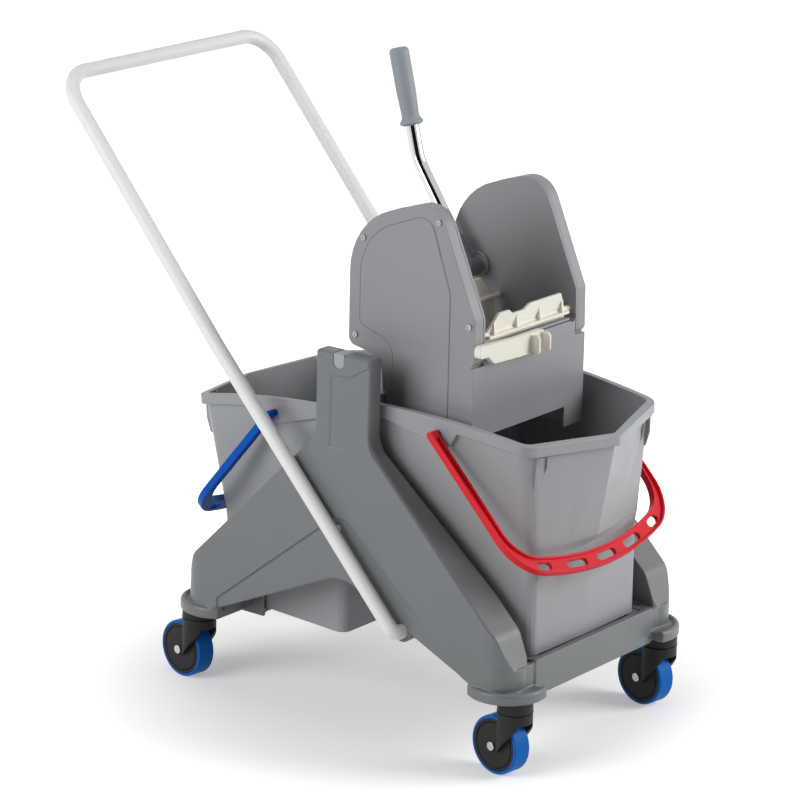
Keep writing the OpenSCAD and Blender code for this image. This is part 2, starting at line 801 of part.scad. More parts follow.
module blue_bucket() {
    place_second() bucket(second_rim_l);
}

// Bails

// Middle line of half a bail as [x, y, normal angle, half width]
function bail_line() = concat(
    [for (x = [0, fillet_x / 2]) [x, bail_half, 90, bail_arm_w / 2]],
    [for (i = [0 : 8]) let (a = mix(90, fillet_turn, i / 8))
        let (p = along([fillet_x, bail_half - bail_fillet], bail_fillet, a))
        [p.x, p.y, a, mix(bail_arm_w, bail_grip_w, i / 8) / 2]],
    [for (i = [1 : 5]) let (a = mix(fillet_turn, 0, i / 5), p = along([bow_x, 0], bow_r, a))
        [p.x, p.y, a, bail_grip_w / 2]]
);

function bail_edge(inset) = let (half = bail_line())
    let (out = [for (q = half) along([q.x, q.y], q[3] - inset, q.z)])
    let (back = [for (q = half) along([q.x, q.y], inset - q[3], q.z)])
    concat(out, [for (i = [len(out) - 2 : -1 : 0]) [out[i].x, -out[i].y]],
        [for (p = back) [p.x, -p.y]], [for (i = [len(back) - 2 : -1 : 0]) back[i]]);

slot_pitch = 62;
slot_l = 40;
slot_w = 11;
bail_flange = 3;
bail_web = 4;

module bail_slot(l) {
    square([slot_w, l - slot_w], center = true);
    for (s = [-1, 1]) translate([0, s * (l - slot_w) / 2]) circle(d = slot_w, $fn = 24);
}

module bail(l) {
    inner_face = bail_half - bail_arm_w / 2;
    stud_end = stud_y(l) - 6;
    rotate([0, bail_hang, 0]) {
        difference() {
            union() {
                linear_extrude(bail_t, center = true) polygon(bail_edge(0));
                for (s = [-1, 1]) translate([0, s * bail_half, 0]) rotate([90, 0, 0])
                    cylinder(h = bail_arm_w, d = bail_t, center = true);
            }
            translate([0, 0, bail_t / 2 - bail_web]) linear_extrude(bail_t) difference() {
                polygon(bail_edge(bail_flange));
                for (s = [-1, 1]) translate([-20, s * bail_half - 20]) square([28, 40]);
            }
            for (i = [-2 : 2]) translate([bow_x, 0, 0]) rotate([0, 0, i * slot_pitch / bow_r * 180 / PI])
                translate([bow_r, 0, -bail_t]) linear_extrude(2 * bail_t)
                    bail_slot(abs(i) == 2 ? slot_l * 0.65 : slot_l);
        }
        for (s = [-1, 1]) translate([0, s * (inner_face + 1 + stud_end) / 2, 0]) rotate([90, 0, 0])
            cylinder(h = inner_face + 1 - stud_end, d = bail_stud_d, center = true);
    }
}

module at_bail() {
    translate([bail_x, 0, pivot_z]) children();
}

module red_bail() {
    color(bail_red) place_first() at_bail() bail(rim_l);
}

module blue_bail() {
    color(bail_blue) place_second() at_bail() bail(second_rim_l);
}

// Wringer

panel_top = [[-50, 684, 95], [93, 731, 40], [wringer_front, 583, 15]];

// Side outline of the wringer: the head above the bucket and the body that hangs in it
side_outline = concat(
    [[-50, rear_low_z, 12]], panel_top,
    [[wringer_front + 1, shoulder_z, 4], [wringer_front - body_wall, shoulder_z - 6, 1],
        [wringer_front - body_wall, wringer_foot_z, 2], [body_rear, wringer_foot_z, 2],
        [rim_flat + 4, rim_z, 6], [rim_flat + 2, rim_z + 26, 22], [-12, rear_low_z - 7, 14]]
);

module side_shape() {
    polygon(rounded(side_outline, 8));
}

module shaft_bore(d, y0, y1) {
    cross_bar([shaft_x, shaft_z], y0, y1, d);
}

module pin_bores(d, y0, y1) {
    cross_bar(front_pin, y0, y1, d);
    cross_bar(rear_pin, y0, y1, d);
}

front_band_h = 20;
leg_w = 18;
grid_pitch = 16;
grid_slot = 9;
notch_d = 15;

// Body: two side walls, front and rear wall and the drain grid at the bottom
module wringer_body() {
    color(wringer_grey) difference() {
        union() {
            both_sides() slab(-wall_y, -throat_half) side_shape();
            translate([wringer_front - body_wall - 1, -wall_y, wringer_foot_z])
                cube([body_wall + 1, 2 * wall_y, shoulder_z - wringer_foot_z - 8]);
            translate([wringer_front - body_wall + seat_gap, -wringer_half, wringer_foot_z])
                cube([body_wall - seat_gap, 2 * wringer_half, shoulder_z - wringer_foot_z - 8]);
            translate([wringer_front - body_wall - 1, -throat_half - 1, wringer_foot_z + 1])
                cube([body_wall + 1, 2 * throat_half + 2, front_top - wringer_foot_z - 2]);
            translate([wringer_front - body_wall - 3, -throat_half, front_top - front_band_h])
                cube([body_wall + 4, 2 * throat_half, front_band_h]);
            translate([body_rear, -throat_half, wringer_foot_z])
                cube([body_wall, 2 * throat_half, rear_low_z - wringer_foot_z - 14]);
            translate([body_rear, -throat_half, wringer_foot_z])
                cube([wringer_front - body_rear - 70, 2 * throat_half, body_wall]);
        }
        translate([wringer_front - 20, -throat_half + leg_w, wringer_foot_z - 1])
            cube([40, 2 * (throat_half - leg_w), drain_top - wringer_foot_z + 1]);
        for (x = [body_rear + grid_pitch : grid_pitch : wringer_front - grid_pitch])
            translate([x, -throat_half + 12, wringer_foot_z - 1])
                cube([grid_slot, 2 * throat_half - 24, body_wall + 2]);
        both_sides() {
            shaft_bore(2 * (bush_hub_r + fix_gap), -wall_y - 1, -throat_half + 1);
            pin_bores(jaw_pin_d + 2 * run_gap, -wall_y - 1, -throat_half + 1);
            translate([wringer_front - 20, -throat_half + notch_d / 2 - 1, front_top]) rotate([0, 90, 0])
                cylinder(h = 40, d = notch_d);
        }
    }
}

raised_panel = [[-31, 546, 10], [-31, 668, 78], [82, 712, 22], [wringer_front - 40, 612, 18],
    [wringer_front - 40, wringer_foot_z + 3, 2], [body_rear + 3, wringer_foot_z + 3, 2],
    [body_rear + 3, rear_low_z + 14, 26]];
panel_rise = 1.2;

// Hollow side cover with its screw bosses
module wringer_cover() {
    outer = -wringer_half + panel_rise;
    color(wringer_grey) difference() {
        union() {
            difference() {
                slab(outer, -wall_y) side_shape();
                slab(outer + cover_skin, -wall_y + 1) offset(delta = -cover_skin - 1) side_shape();
            }
            slab(-wringer_half, outer)
                polygon(rounded(raised_panel, 8));
            for (p = screw_places) cross_bar(p, outer, -wall_y, 2 * boss_r);
        }
        for (p = screw_places) cross_bar(p, -wringer_half - 1, -wall_y + 1, screw_d + 2 * fix_gap);
    }
}

module cover_screws() {
    color(zinc) both_sides() for (p = screw_places) {
        cross_bar(p, -wringer_half + panel_rise, -wall_y - 0.5, screw_d);
        difference() {
            cross_bar(p, -wringer_half - 1, -wringer_half + panel_rise, 2 * screw_d);
            for (a = [0, 90]) translate([p.x, -wringer_half - 1, p.y]) rotate([0, a, 0])
                cube([screw_d, 1.6, 1], center = true);
        }
    }
}

// Hook that hangs the wringer on the inner end of the bucket rim
module rim_hook() {
    color(steel_dark) slab(-throat_half, -throat_half + hook_t) polygon([
        [-42, rear_low_z + 10], [-42, rear_low_z - 11], [-12, rear_low_z - 13],
        [-9, rim_z - 10], [-1, rim_z - 10],
        [-1, rim_z + seat_gap], [rim_flat + 6, rim_z + seat_gap], [rim_flat + 8, rear_low_z - 8],
        [rim_flat + 2, rear_low_z + 10]]);
}

latch_t = 10;
latch_l = wringer_half;
fin_t = 4;
fin_out = 13;

// Release for the mop frame, a plate with two finger fins on the front wall
module frame_release_latch() {
    face = wringer_front + 1;
    color(jaw_ivory) {
        translate([face, 0, latch_z]) rotate([90, 0, 90]) linear_extrude(latch_t)
            polygon(rounded([[-latch_l, 15, 6], [-latch_l, -2, 5], [18 - latch_l, -2, 5],
                [32 - latch_l, -14, 6], [-12, -17, 2], [14, -17, 2], [14, 11, 2], [-44, 11, 10]]));
        for (y = [-13, 10]) slab(y, y + fin_t) polygon(rounded([[face + latch_t - 1, latch_z - 16, 0.5],
            [face + latch_t + fin_out, latch_z - 17, 5], [face + latch_t + fin_out, latch_z + 12, 7],
            [face + latch_t - 1, latch_z + 8, 0.5]]));
    }
}

module shaft_bush() {
    color(wringer_grey) difference() {
        union() {
            shaft_bore(2 * bush_hub_r, -wall_y, -throat_half + 1);
            shaft_bore(2 * bush_r, -throat_half, -throat_half + bush_flange);
            shaft_bore(2 * bush_step_r, -throat_half, -throat_half + bush_flange + bush_step);
        }
        shaft_bore(shaft_d + 2 * run_gap, -wall_y - 1, -throat_half + bush_flange + bush_step + 1);
    }
}

module cross_shaft() {
    color(zinc) shaft_bore(shaft_d, -crank_y - arm_t, crank_y + arm_t);
}

crank_pin = along([shaft_x, shaft_z], crank_r, crank_rest);
rear_arm_pin = along(rear_pin, rear_arm_r, rear_arm_angle);
front_arm_pin = along(front_pin, front_arm_r, front_arm_angle);

// Flat bar with round ends between two points of the side view
module strap(p, q, w) {
    v = q - p;
    translate(p) rotate([0, 0, atan2(v.y, v.x)]) {
        translate([0, -w / 2]) square([norm(v), w]);
        circle(d = w);
        translate([norm(v), 0]) circle(d = w);
    }
}

// Crank on one end of the shaft, with the pin that drives both links
module shaft_crank() {
    color(steel_dark) difference() {
        union() {
            slab(-crank_y - arm_t, -crank_y) strap([shaft_x, shaft_z], crank_pin, arm_w);
            shaft_bore(shaft_d + 6, -crank_y - arm_t, -crank_y);
            cross_bar(crank_pin, -front_link_y - link_t, -crank_y, crank_pin_d);
        }
        shaft_bore(shaft_d + 2 * fix_gap, -crank_y - arm_t - 1, -crank_y + 1);
    }
}

module jaw_arm(pin, end, reach) {
    difference() {
        union() {
            slab(-crank_y - arm_t, -crank_y) strap(pin, end, arm_w);
            cross_bar(end, -reach, -crank_y, crank_pin_d);
        }
        cross_bar(pin, -crank_y - arm_t - 1, -crank_y + 1, jaw_pin_d + 2 * fix_gap);
    }
}

module front_jaw_arms() {
    color(steel_dark) both_sides() jaw_arm(front_pin, front_arm_pin, front_link_y + link_t);
}

module rear_jaw_arms() {
    color(steel_dark) both_sides() jaw_arm(rear_pin, rear_arm_pin, rear_link_y + link_t);
}

module link(end, y, open_gap) {
    difference() {
        slab(-y - link_t, -y) strap(crank_pin, end, arm_w);
        cross_bar(crank_pin, -y - link_t - 1, -y + 1, crank_pin_d + 2 * run_gap);
        cross_bar(end, -y - link_t - 1, -y + 1, crank_pin_d + 2 * open_gap);
    }
}

module front_links() {
    color(steel_dark) both_sides() link(front_arm_pin, front_link_y, open_gap_front);
}

module rear_links() {
    color(steel_dark) both_sides() link(rear_arm_pin, rear_link_y, open_gap_rear);
}

// Jaw drawn for the front: a lip above the pins, a flange with ribs and a press plate below
jaw_half = throat_half - 12;
jaw_slant = 20;
rib_pitch = jaw_half * 25 / 44;
dip_l = 48;
dip_slope = 12;
dip_h = 7;

module jaw() {
    intersection() {
        slab(-jaw_half, jaw_half) polygon([[-2, 0], [jaw_t - 2, 0], [jaw_t + 6, jaw_lip], [6, jaw_lip]]);
        translate([-10, 0, 0]) rotate([90, 0, 90]) linear_extrude(40) polygon([[-jaw_half, 0], [jaw_half, 0],
            [jaw_half - jaw_slant, jaw_lip], [-jaw_half + jaw_slant, jaw_lip]]);
    }
    slab(-jaw_half, jaw_half) polygon([[-2, -4], [10, -4], [10, 0], [-2, 0]]);
    slab(-jaw_half, jaw_half) polygon([[-2, 0], [jaw_t - 2, 0], [jaw_t - 9, -jaw_depth], [-9, -jaw_depth]]);
    for (y = [-1.5 * rib_pitch : rib_pitch : 1.5 * rib_pitch]) slab(y - 2, y + 2)
        polygon([[jaw_t - 2.5, 0], [9, 0], [jaw_t + 3, jaw_lip * 0.6], [jaw_t + 1, jaw_lip * 0.6]]);
    cross_bar([0, 0], -crank_y - arm_t, crank_y + arm_t, jaw_pin_d);
}

module jaw_dip() {
    translate([-20, 0, jaw_lip]) rotate([90, 0, 90]) linear_extrude(60)
        polygon([[-dip_l, 1], [dip_slope - dip_l, -dip_h], [-dip_slope, -dip_h], [0, 1]]);
}

module front_jaw() {
    color(jaw_ivory) translate([front_pin.x, 0, front_pin.y]) difference() {
        jaw();
        jaw_dip();
    }
}

module rear_jaw() {
    color(jaw_ivory) translate([rear_pin.x, 0, rear_pin.y]) rotate([0, 0, 180]) jaw();
}

// Lever

bend_at = along([shaft_x, shaft_z], lever_low, 90 + lever_lean);
tube_start = hub_r_lever + 1;
tube_end = lever_high - 10;

// Puts a shape drawn along +X in line with the lever above or below its bend
module on_lever(at, lean) {
    translate([at.x, lever_y, at.y]) rotate([90, 0, 0]) rotate([0, 0, 90 + lean]) children();
}

// Line of the lever with the diameter d, run on by extra at both ends
module lever_line(d, extra = 0) {
    turn = lever_lean - lever_top_lean;
    t = lever_bend_r * tan(turn / 2);
    on_lever([shaft_x, shaft_z], lever_lean)
        bar([tube_start - extra, 0, 0], [lever_low - t + lap, 0, 0], d);
    on_lever(bend_at, lever_lean) mirror([0, 1, 0]) translate([-t, lever_bend_r, 0]) rotate([0, 0, -90])
        rotate_extrude(angle = turn) translate([lever_bend_r, 0]) circle(d = d + bend_step);
    on_lever(bend_at, lever_top_lean) bar([t - lap, 0, 0], [tube_end + extra, 0, 0], d);
}

module lever_hub() {
    y0 = lever_y - hub_w / 2;
    color(steel_dark) difference() {
        union() {
            shaft_bore(2 * hub_r_lever, y0, y0 + hub_w);
            on_lever([shaft_x, shaft_z], lever_lean)
                bar([0, 0, 0], [44, 0, 0], min(lever_d + 5, hub_w - 1.5));
        }
        shaft_bore(shaft_d + 2 * fix_gap, y0 - 1, y0 + hub_w + 1);
        on_lever([shaft_x, shaft_z], lever_lean)
            bar([tube_start, 0, 0], [50, 0, 0], lever_d + 2 * fix_gap);
    }
}

module lever_tube() {
    color(chrome) difference() {
        lever_line(lever_d);
        lever_line(lever_d - 2 * lever_wall, 1);
    }
}

module lever_grip() {
    r = grip_d / 2;
    start = lever_high - grip_l;
    bore = lever_d / 2 + fix_gap;
    color(grip_grey) on_lever(bend_at, lever_top_lean) rotate([0, 90, 0]) rotate_extrude() polygon(concat(
        [[bore, start], [r - 1, start], [r + 2.5, start + 2], [r + 2.5, start + 5], [r - 1, start + 10]],
        [[r - 1.5, start + 16], [r, start + grip_l * 0.45]],
        [for (a = [0 : 15 : 90]) [r - 6 + 6 * cos(a), lever_high - 6 + 6 * sin(a)]],
        [[0, lever_high], [0, tube_end + fix_gap], [bore, tube_end + fix_gap]]
    ));
}

side_frame();  // side_frame_near
far_side() side_frame();  // side_frame_far
front_crossbar();
rear_crossbar();
tower_bridge();
tower_insert();  // tower_insert_near
far_side() tower_insert();  // tower_insert_far
push_handle();
handle_pegs();
for (c = CORNERS) {
    caster_stem(c);
    caster_fork(c);
    caster_axle(c);
    wheel_hub(c);
    tyre(c);
}
red_bucket();
blue_bucket();
red_bail();
blue_bail();
wringer_body();
wringer_cover();  // wringer_cover_near
far_side() wringer_cover();  // wringer_cover_far
cover_screws();
rim_hook();  // rim_hook_near
far_side() rim_hook();  // rim_hook_far
frame_release_latch();
shaft_bush();  // shaft_bush_near
far_side() shaft_bush();  // shaft_bush_far
cross_shaft();
shaft_crank();  // shaft_crank_near
far_side() shaft_crank();  // shaft_crank_far
lever_hub();
lever_tube();
lever_grip();
front_jaw();
rear_jaw();
front_jaw_arms();
rear_jaw_arms();
front_links();
rear_links();
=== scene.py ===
"""Double mop bucket trolley with a lever wringer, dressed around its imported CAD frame."""

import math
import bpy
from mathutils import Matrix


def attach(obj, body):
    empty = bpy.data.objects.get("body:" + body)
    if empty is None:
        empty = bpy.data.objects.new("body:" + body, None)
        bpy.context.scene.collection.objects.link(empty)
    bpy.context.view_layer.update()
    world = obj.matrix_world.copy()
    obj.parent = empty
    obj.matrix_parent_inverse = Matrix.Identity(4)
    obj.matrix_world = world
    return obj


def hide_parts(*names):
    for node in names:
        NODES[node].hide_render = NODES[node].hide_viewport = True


bl_info = {
    "name": "Mop bucket trolley",
    "version": (1, 0, 0),
    "blender": (4, 5, 0),
    "location": "3D View > Sidebar > Trolley",
    "description": "Finishes the frame of a double mop bucket trolley and builds its studio",
    "category": "Object",
}

import bmesh
import bpy
from mathutils import Matrix, Vector

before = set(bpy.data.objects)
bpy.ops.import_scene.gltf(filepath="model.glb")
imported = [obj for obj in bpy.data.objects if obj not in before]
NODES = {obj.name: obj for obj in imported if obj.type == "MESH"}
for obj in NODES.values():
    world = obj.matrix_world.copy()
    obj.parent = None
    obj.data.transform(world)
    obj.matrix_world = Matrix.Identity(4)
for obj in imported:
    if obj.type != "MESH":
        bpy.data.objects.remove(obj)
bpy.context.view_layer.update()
CORNERS = ("nf", "ff", "nr", "fr")
MM = 0.001


# Colours and shader nodes

# Width of the patches in which a colour drifts, and of the finer smears in its gloss
CLOUD_MM = 90
SMEAR_MM = 27


def linear(hex_colour):
    """Linear RGB of an sRGB hex colour."""
    parts = [int(hex_colour[i:i + 2], 16) / 255 for i in (1, 3, 5)]
    return tuple(c / 12.92 if c <= 0.04045 else ((c + 0.055) / 1.055) ** 2.4 for c in parts)


def shade(colour, factor=1.0):
    """The colour made lighter or darker, with full alpha."""
    return tuple(min(1.0, c * factor) for c in colour[:3]) + (1.0,)


def add(tree, kind, inputs=None, **settings):
    """Adds a node with its settings; an input is a value or another node's output."""
    node = tree.nodes.new(kind)
    for key, value in settings.items():
        setattr(node, key, value)
    for key, value in (inputs or {}).items():
        if isinstance(value, bpy.types.NodeSocket):
            tree.links.new(value, node.inputs[key])
        else:
            node.inputs[key].default_value = value
    return node


def new_material(name):
    """An empty node material with its output node."""
    material = bpy.data.materials.new(name)
    material.use_nodes = True
    material.node_tree.nodes.clear()
    return material, material.node_tree, add(material.node_tree, "ShaderNodeOutputMaterial")


def surface(name, colour, roughness, grain_mm, grain_depth_mm, cloud=0.04, rough_spread=0.05,
            specular=0.3, metallic=0.0):
    """A finish with clouded colour, uneven gloss and a fine grain, all from sizes in millimetres.

    The real grain is about 0.1 mm wide, too fine to show, so it is drawn about 1 to 3 mm wide.
    """
    material, tree, output = new_material(name)
    where = add(tree, "ShaderNodeTexCoord").outputs["Object"]
    clouds = add(tree, "ShaderNodeTexNoise",
                 {"Vector": where, "Scale": 1000 / CLOUD_MM, "Detail": 3.0})
    tint = add(tree, "ShaderNodeMix",
               {"Factor": clouds.outputs["Fac"], "A": shade(colour, 1 - cloud),
                "B": shade(colour, 1 + cloud)}, data_type="RGBA")
    smears = add(tree, "ShaderNodeTexNoise",
                 {"Vector": where, "Scale": 1000 / SMEAR_MM, "Detail": 4.0})
    gloss = add(tree, "ShaderNodeMapRange",
                {"Value": smears.outputs["Fac"], "From Min": 0.3, "From Max": 0.7,
                 "To Min": roughness - rough_spread, "To Max": roughness + rough_spread})
    grain = add(tree, "ShaderNodeTexNoise",
                {"Vector": where, "Scale": 1000 / grain_mm, "Detail": 2.0})
    bump = add(tree, "ShaderNodeBump",
               {"Height": grain.outputs["Fac"], "Strength": 0.6, "Distance": grain_depth_mm * MM})
    shader = add(tree, "ShaderNodeBsdfPrincipled",
                 {"Base Color": tint.outputs["Result"], "Roughness": gloss.outputs["Result"],
                  "Normal": bump.outputs["Normal"], "Specular IOR Level": specular,
                  "Metallic": metallic})
    tree.links.new(shader.outputs["BSDF"], output.inputs["Surface"])
    return material


# Settings that a user would change

def colour_setting(name, description, hex_colour):
    """A colour with its sRGB hex default."""
    return bpy.props.FloatVectorProperty(name=name, description=description, subtype="COLOR",
                                         size=3, min=0.0, max=1.0, default=linear(hex_colour))


def size_setting(name, description, metres, least=0.0):
    """A length with its default in metres."""
    return bpy.props.FloatProperty(name=name, description=description, subtype="DISTANCE",
                                   unit="LENGTH", min=least, default=metres)


class TrolleyColours(bpy.types.PropertyGroup):
    """Colours of the trolley's pieces."""
    chassis: colour_setting("Chassis", "Moulded side frames and crossbars", "#717476")
    insert: colour_setting("Insert", "Inserts in the tower tops", "#A3A6A9")
    bucket: colour_setting("Buckets", "Both buckets", "#9A9C9F")
    wringer: colour_setting("Wringer", "Body and covers of the wringer", "#949498")
    red_bail: colour_setting("Red bail", "Bail of the bucket under the wringer", "#DC1E2D")
    blue_bail: colour_setting("Blue bail", "Bail of the second bucket", "#0655B6")
    tyre: colour_setting("Tyres", "Tyres of the casters", "#1266BC")
    caster: colour_setting("Casters", "Stems, forks and wheel hubs", "#2C2B2A")
    handle: colour_setting("Push handle", "Powder coat of the handle tube", "#EDEDED")
    jaw: colour_setting("Jaws", "Press jaws and release latch", "#F0ECE0")
    grip: colour_setting("Grip", "Lever grip", "#959CA2")
    chrome: colour_setting("Chrome", "Lever tube", "#C4C5C6")
    zinc: colour_setting("Zinc", "Axles and cross shaft", "#C3C6CA")
    screw: colour_setting("Screws", "Cover screws", "#8F9295")
    hub: colour_setting("Lever hub", "Casting that holds the lever", "#77797C")
    dark_steel: colour_setting("Dark steel", "Hooks and linkage", "#3B3D40")


class TrolleySizes(bpy.types.PropertyGroup):
    """Sizes of the finish and of the studio."""
    skin: size_setting("Skin", "Mesh size of the chassis moulding", 1.2 * MM, 0.8 * MM)
    latch_skin: size_setting("Latch skin", "Mesh size of the release latch", 0.7 * MM, 0.4 * MM)
    wall_edge: size_setting("Wall edge", "Edge radius of the buckets and covers", 1.2 * MM)
    body_edge: size_setting("Body edge", "Edge radius of the wringer body", 0.6 * MM)
    small_edge: size_setting("Small edge", "Edge radius of small pieces", 0.5 * MM)
    screw_edge: size_setting("Screw edge", "Edge radius of the cover screws", 0.2 * MM)
    floor: size_setting("Floor", "Length of a side of the studio floor", 14.0)


# Finishing of the CAD nodes

# Points of a CAD mesh that are nearer than this are one point
WELD_GAP = 0.01 * MM
# Neighbouring faces that differ by less than this angle are one flat face
FLAT_ANGLE = math.radians(0.5)
EDGE_SEGMENTS = 3
SMOOTH_PASSES = 2


def dress(material, edge, *nodes, angle=32, join=True):
    """Gives CAD nodes a material and softened edges.

    An edge is softened where it turns by more than the angle in degrees. Flat faces are joined
    first, except on nodes that this would damage.
    """
    for name in nodes:
        piece = NODES[name]
        mesh = piece.data
        mesh.materials.clear()
        mesh.materials.append(material)
        normals = mesh.attributes.get("custom_normal")
        if normals:
            mesh.attributes.remove(normals)
        mesh.polygons.foreach_set("use_smooth", [True] * len(mesh.polygons))
        weld = piece.modifiers.new("weld", "WELD")
        weld.merge_threshold = WELD_GAP
        if join:
            planes = piece.modifiers.new("planes", "DECIMATE")
            planes.decimate_type = "DISSOLVE"
            planes.angle_limit = FLAT_ANGLE
        bevel = piece.modifiers.new("edges", "BEVEL")
        bevel.width = edge
        bevel.segments = EDGE_SEGMENTS
        bevel.limit_method = "ANGLE"
        bevel.angle_limit = math.radians(angle)
        bevel.use_clamp_overlap = False
        weighted = piece.modifiers.new("normals", "WEIGHTED_NORMAL")
        weighted.keep_sharp = False
        weighted.weight = 80


# Pieces that stand for CAD nodes

BEND_STEPS = 20
ROUND_STEPS = 8


def stand_in(piece, body, nodes):
    """Puts a piece in the scene, on the body and in place of the CAD nodes."""
    bpy.context.scene.collection.objects.link(piece)
    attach(piece, body)
    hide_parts(*nodes)


def moulding(name, material, voxel, body, slot, *nodes, plates=()):
    """One seamless moulding with soft edges, grown over CAD nodes and over hidden plates."""
    bpy.context.view_layer.update()
    build = bmesh.new()
    for node in nodes:
        start = len(build.verts)
        build.from_mesh(NODES[node].data)
        build.verts.ensure_lookup_table()
        fresh = build.verts[start:]
        bmesh.ops.transform(build, matrix=NODES[node].matrix_world, verts=fresh)
        bmesh.ops.remove_doubles(build, verts=fresh, dist=WELD_GAP)
    for low, high in plates:
        low, high = Vector(low), Vector(high)
        place = Matrix.Translation((low + high) / 2) @ Matrix.Diagonal((*(high - low), 1.0))
        bmesh.ops.create_cube(build, size=1.0, matrix=place)
    mesh = bpy.data.meshes.new(name)
    build.to_mesh(mesh)
    build.free()
    mesh.materials.append(material)
    piece = bpy.data.objects.new(name, mesh)
    remesh = piece.modifiers.new("skin", "REMESH")
    remesh.mode = "VOXEL"
    remesh.voxel_size = voxel
    remesh.use_smooth_shade = True
    smooth = piece.modifiers.new("flow", "SMOOTH")
    smooth.factor = 0.5
    smooth.iterations = SMOOTH_PASSES
    stand_in(piece, body, nodes)


def rounded_path(points, radii):
    """A path whose inner corners are arcs with the given radii."""
    path = [Vector(points[0])]
    for before, corner, after, radius in zip(points, points[1:], points[2:], radii):
        corner = Vector(corner)
        back = (Vector(before) - corner).normalized()
        ahead = (Vector(after) - corner).normalized()
        half = back.angle(ahead) / 2
        centre = corner + (back + ahead).normalized() * radius / math.sin(half)
        start = (corner + back * radius / math.tan(half) - centre).normalized()
        end = (corner + ahead * radius / math.tan(half) - centre).normalized()
        path += [centre + start.slerp(end, i / BEND_STEPS) * radius for i in range(BEND_STEPS + 1)]
    path.append(Vector(points[-1]))
    return path


def tube(name, path, radius, body, material, slot, *nodes):
    """A round tube along a path."""
    curve = bpy.data.curves.new(name, "CURVE")
    curve.dimensions = "3D"
    curve.bevel_depth = radius
    curve.bevel_resolution = ROUND_STEPS
    curve.use_fill_caps = True
    spline = curve.splines.new("POLY")
    spline.points.add(len(path) - 1)
    for point, place in zip(spline.points, path):
        point.co = (*place, 1.0)
    spline.use_smooth = True
    curve.materials.append(material)
    stand_in(bpy.data.objects.new(name, curve), body, nodes)


# Chassis and push handle

# Lowest and highest corner of a shelf plate that closes the gap behind the front crossbar
SHELF_PLATE = ((0.195, -0.134, 0.137), (0.277, 0.134, 0.140))
# Middle line of the far half of the push handle, from its foot up, and its bends from end to end
HANDLE_FAR_HALF = [(0.104, 0.179, 0.168), (0.104, 0.21, 0.168), (-0.205, 0.21, 0.503),
                   (-0.482, 0.21, 0.825)]
HANDLE_BENDS = [0.0125, 0.12, 0.045, 0.045, 0.12, 0.0125]
HANDLE_RADIUS = 0.01


class TROLLEY_OT_chassis(bpy.types.Operator):
    """Finish the side frames, crossbars, bridge and tower inserts"""
    bl_idname = "trolley.chassis"
    bl_label = "Chassis"

    def execute(self, context):
        colours, sizes = context.scene.trolley_colours, context.scene.trolley_sizes
        # Polypropylene moulded in a spark-eroded tool: satin, with a fine even grain
        plastic = surface("moulded polypropylene, dark grey", colours.chassis, 0.4, 1.2, 0.05,
                          specular=0.4)
        moulding("chassis_moulding", plastic, sizes.skin, "chassis", "chassis_plastic",
                 "side_frame_near", "side_frame_far", "front_crossbar", "rear_crossbar",
                 "tower_bridge", plates=(SHELF_PLATE,))
        # Smooth moulded inserts: a little glossier than the frames
        smooth = surface("moulded polypropylene, light grey", colours.insert, 0.38, 1.5, 0.02)
        dress(smooth, sizes.small_edge, "tower_insert_near", "tower_insert_far")
        return {"FINISHED"}


class TROLLEY_OT_handle(bpy.types.Operator):
    """Finish the push handle and its pegs"""
    bl_idname = "trolley.handle"
    bl_label = "Push handle"

    def execute(self, context):
        colours, sizes = context.scene.trolley_colours, context.scene.trolley_sizes
        # Powder coat on steel tube: satin white with a faint orange peel
        coat = surface("powder coat, light grey", colours.handle, 0.36, 3.0, 0.015, cloud=0.015)
        dress(coat, sizes.small_edge, "handle_pegs", angle=50)
        near_half = [(x, -y, z) for x, y, z in HANDLE_FAR_HALF]
        path = rounded_path(near_half + HANDLE_FAR_HALF[::-1], HANDLE_BENDS)
        tube("handle_tube", path, HANDLE_RADIUS, "chassis", coat, "handle_tube", "push_handle")
        return {"FINISHED"}


class TROLLEY_OT_casters(bpy.types.Operator):
    """Finish the four casters"""
    bl_idname = "trolley.casters"
    bl_label = "Casters"

    def execute(self, context):
        colours, sizes = context.scene.trolley_colours, context.scene.trolley_sizes
        # Glass-filled nylon: dark and matt, with a coarse grain
        nylon = surface("glass-filled nylon, black", colours.caster, 0.5, 0.9, 0.06, specular=0.15)
        # Soft rubber tread: satin and clean
        rubber = surface("moulded rubber, blue", colours.tyre, 0.42, 1.6, 0.04, specular=0.08)
        # Zinc plate: pale metal with a soft sheen
        zinc = surface("zinc-plated steel", colours.zinc, 0.28, 1.0, 0.01, metallic=1.0)
        for corner in CORNERS:
            dress(nylon, sizes.small_edge, "caster_stem_" + corner, "caster_fork_" + corner)
            dress(nylon, sizes.small_edge, "wheel_hub_" + corner, join=False)
            dress(rubber, sizes.small_edge, "tyre_" + corner)
            dress(zinc, sizes.small_edge, "caster_axle_" + corner)
        return {"FINISHED"}


# Buckets and bails

class TROLLEY_OT_buckets(bpy.types.Operator):
    """Finish both buckets"""
    bl_idname = "trolley.buckets"
    bl_label = "Buckets"

    def execute(self, context):
        colours, sizes = context.scene.trolley_colours, context.scene.trolley_sizes
        # Polypropylene moulded in a polished tool: satin with a soft highlight
        plastic = surface("moulded polypropylene, mid grey", colours.bucket, 0.4, 2.0, 0.03)
        dress(plastic, sizes.wall_edge, "red_bucket", "blue_bucket", angle=20)
        return {"FINISHED"}


